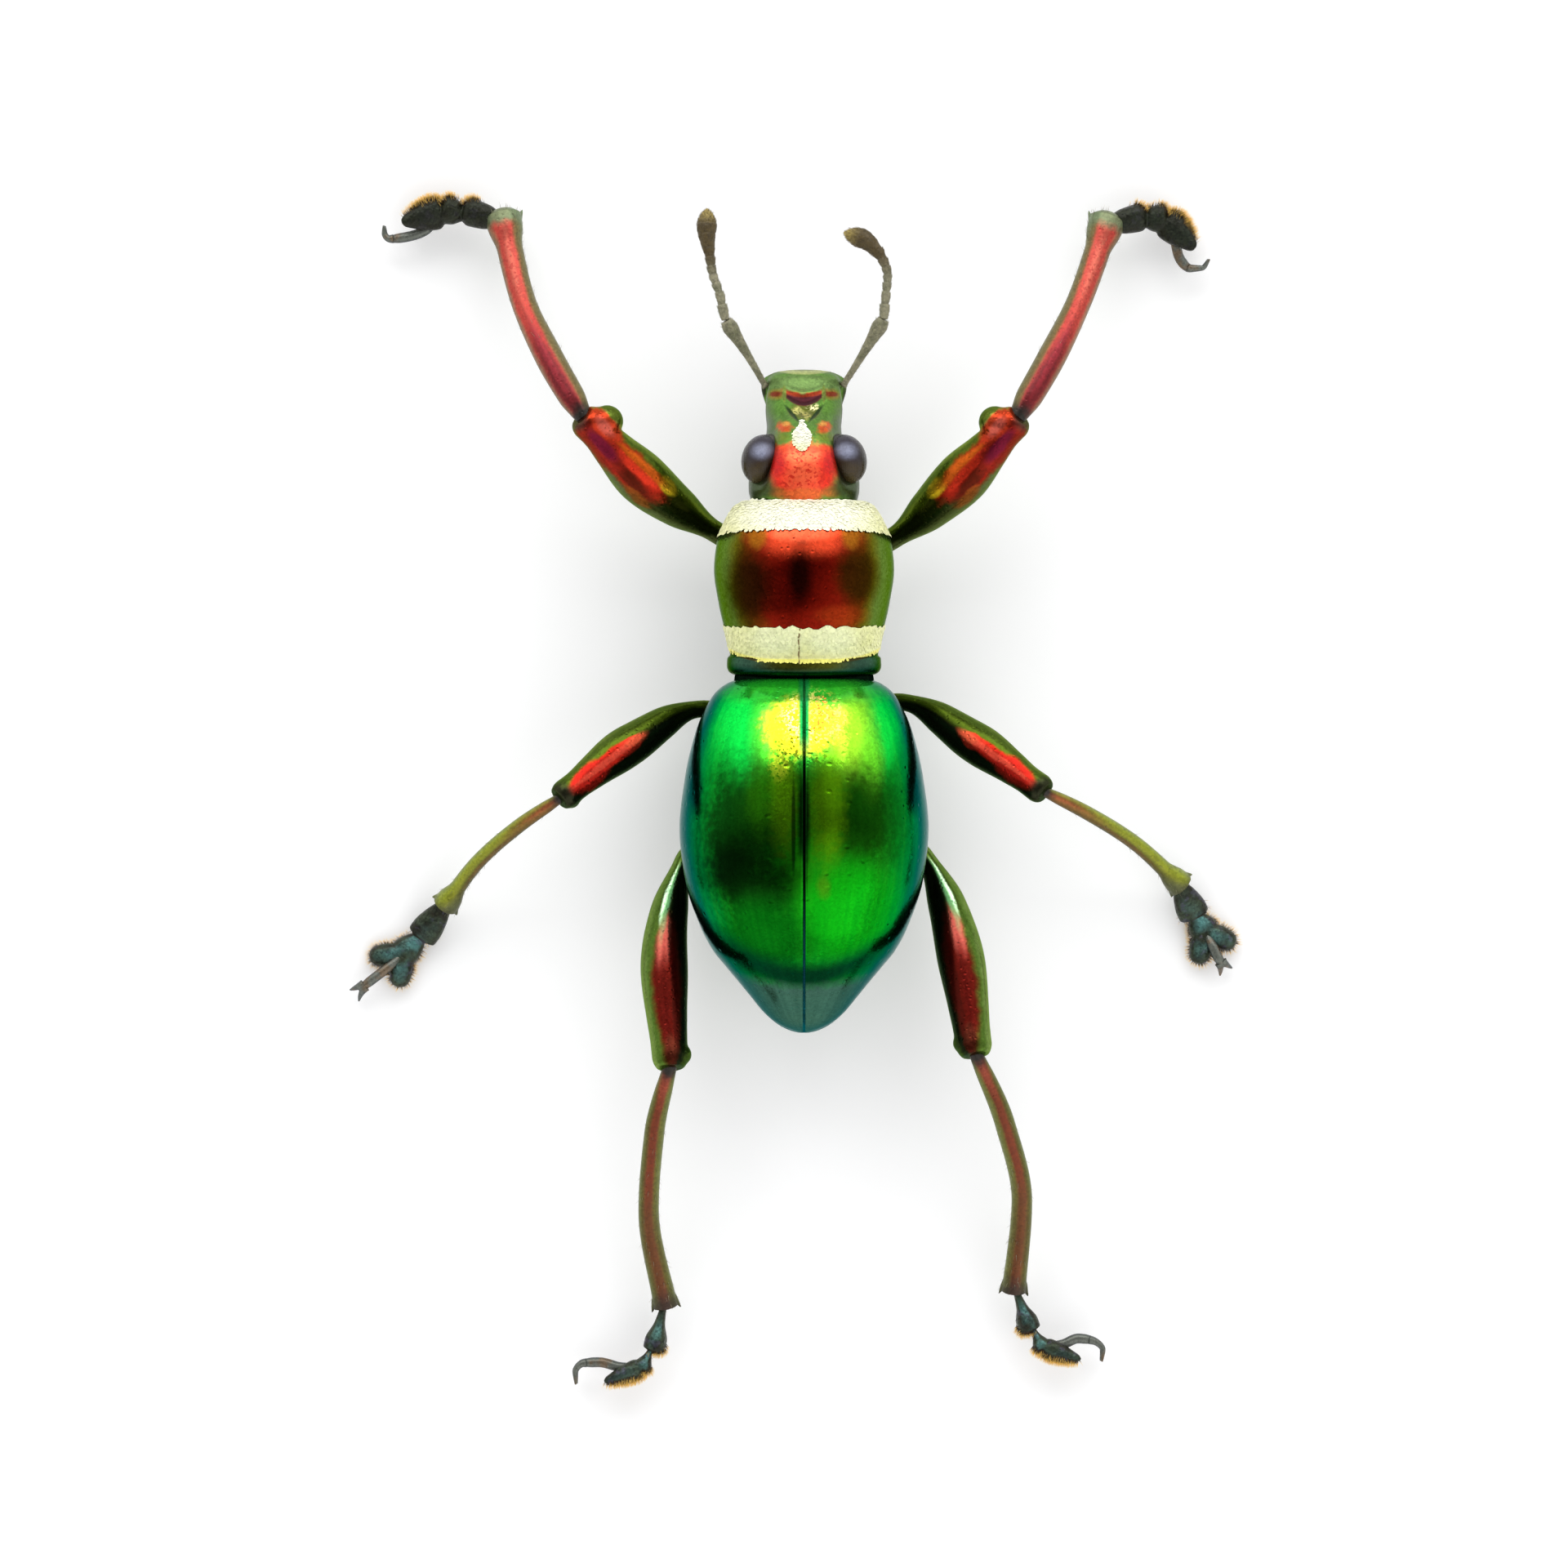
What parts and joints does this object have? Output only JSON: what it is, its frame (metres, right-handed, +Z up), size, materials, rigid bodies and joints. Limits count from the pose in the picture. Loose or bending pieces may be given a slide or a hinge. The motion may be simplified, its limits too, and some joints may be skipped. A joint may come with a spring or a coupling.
{
  "type": "banded snout weevil",
  "caption": "Life-size standing snout weevil with a domed green hind body, a red front body with pale bands, bent feelers and spread jointed legs.",
  "frame": {"origin": "floor level under the middle of the overall box", "axes": "+Z up, the head faces -Y, the animal's left is +X"},
  "size_m": [0.0202, 0.0272, 0.0057],
  "materials": {
    "elytra": "metallic green cuticle with a gold sheen at the front",
    "pronotum": "metallic crimson cuticle, green toward the sides",
    "head": "metallic green and red cuticle, sunken forehead",
    "underside": "dark metallic green cuticle",
    "eye": "faceted grey-violet gloss",
    "antenna": "olive brown, finely haired",
    "femur": "metallic red with green edges and a dark base",
    "tibia": "metallic red and olive green, lightly haired",
    "tarsus": "slate blue-green with golden hair pads"
  },
  "bodies": {
    "root": {"elytra": "elytra", "pronotum": "pronotum", "head": "head", "metathorax": "underside", "abdomen": "underside", "eye_left": "eye", "antenna_left_scape": "antenna", "antenna_left_funicle": "antenna", "eye_right": "eye", "antenna_right_scape": "antenna", "antenna_right_funicle": "antenna", "leg_front_left_femur": "femur", "leg_front_left_tibia": "tibia", "leg_front_left_tarsus": "tarsus", "leg_front_right_femur": "femur", "leg_front_right_tibia": "tibia", "leg_front_right_tarsus": "tarsus", "leg_middle_left_femur": "femur", "leg_middle_left_tibia": "tibia", "leg_middle_left_tarsus": "tarsus", "leg_middle_right_femur": "femur", "leg_middle_right_tibia": "tibia", "leg_middle_right_tarsus": "tarsus", "leg_hind_left_femur": "femur", "leg_hind_left_tibia": "tibia", "leg_hind_left_tarsus": "tarsus", "leg_hind_right_femur": "femur", "leg_hind_right_tibia": "tibia", "leg_hind_right_tarsus": "tarsus"}
  },
  "joints": []
}
